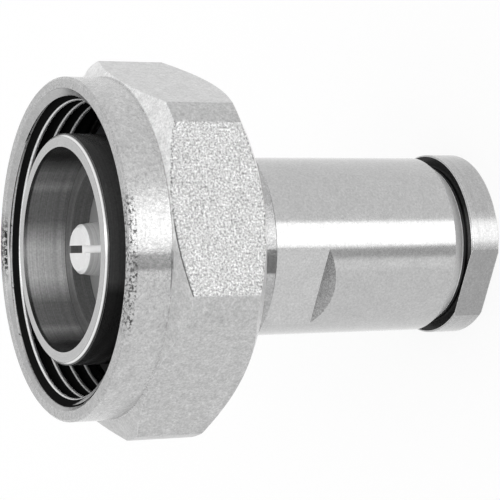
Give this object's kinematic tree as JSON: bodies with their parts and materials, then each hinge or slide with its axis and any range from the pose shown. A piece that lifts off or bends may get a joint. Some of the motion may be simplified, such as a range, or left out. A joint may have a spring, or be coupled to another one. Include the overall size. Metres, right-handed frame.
{
  "type": "coaxial cable plug",
  "caption": "Straight large-size coaxial cable plug with a hexagonal coupling nut, slotted centre pin and clamped cable gland, standing on its cable end.",
  "frame": {"origin": "centre of the clamp nut's rear face, which the plug stands on", "axes": "+Z along the plug's axis, up towards the mating end; a flat of the coupling nut faces -Y"},
  "size_m": [0.0357, 0.032, 0.0421],
  "materials": {
    "nut_plate": "blasted brass under matt white-bronze plate",
    "body_plate": "turned brass under satin silver-coloured plate",
    "contact_plate": "turned brass under silver plate",
    "pin_plate": "turned brass under silver plate",
    "spring": "spring wire",
    "insulator": "white insulating plastic",
    "dark_rubber": "black rubber"
  },
  "bodies": {
    "connector": {"body": "body_plate", "outer_contact": "contact_plate", "mating_gasket": "dark_rubber", "front_insulator": "insulator", "rear_insulator": "insulator", "centre_contact": "pin_plate", "retaining_ring": "spring", "braid_clamp": "contact_plate", "gland_gasket": "dark_rubber"},
    "coupling_nut": {"coupling_nut": "nut_plate"},
    "gland_washer": {"gland_washer": "contact_plate"},
    "clamp_nut": {"clamp_nut": "body_plate", "seal_ring": "dark_rubber"}
  },
  "joints": [
    {"name": "coupling_nut_turn", "type": "hinge", "parent": "connector", "child": "coupling_nut", "pos_m": [0, 0, 0.03], "axis": [0, 0, 1], "continuous": true},
    {"name": "clamp_nut_travel", "type": "slide", "parent": "connector", "child": "gland_washer", "axis": [0, 0, -1], "range_m": [0, 0.008]},
    {"name": "clamp_nut_turn", "type": "hinge", "parent": "gland_washer", "child": "clamp_nut", "pos_m": [0, 0, 0.003], "axis": [0, 0, -1], "range_deg": [0, 2880]}
  ],
  "couplings": [
    {"joint": "clamp_nut_travel", "follows": "clamp_nut_turn", "m_per_rad": 0.00015915}
  ]
}
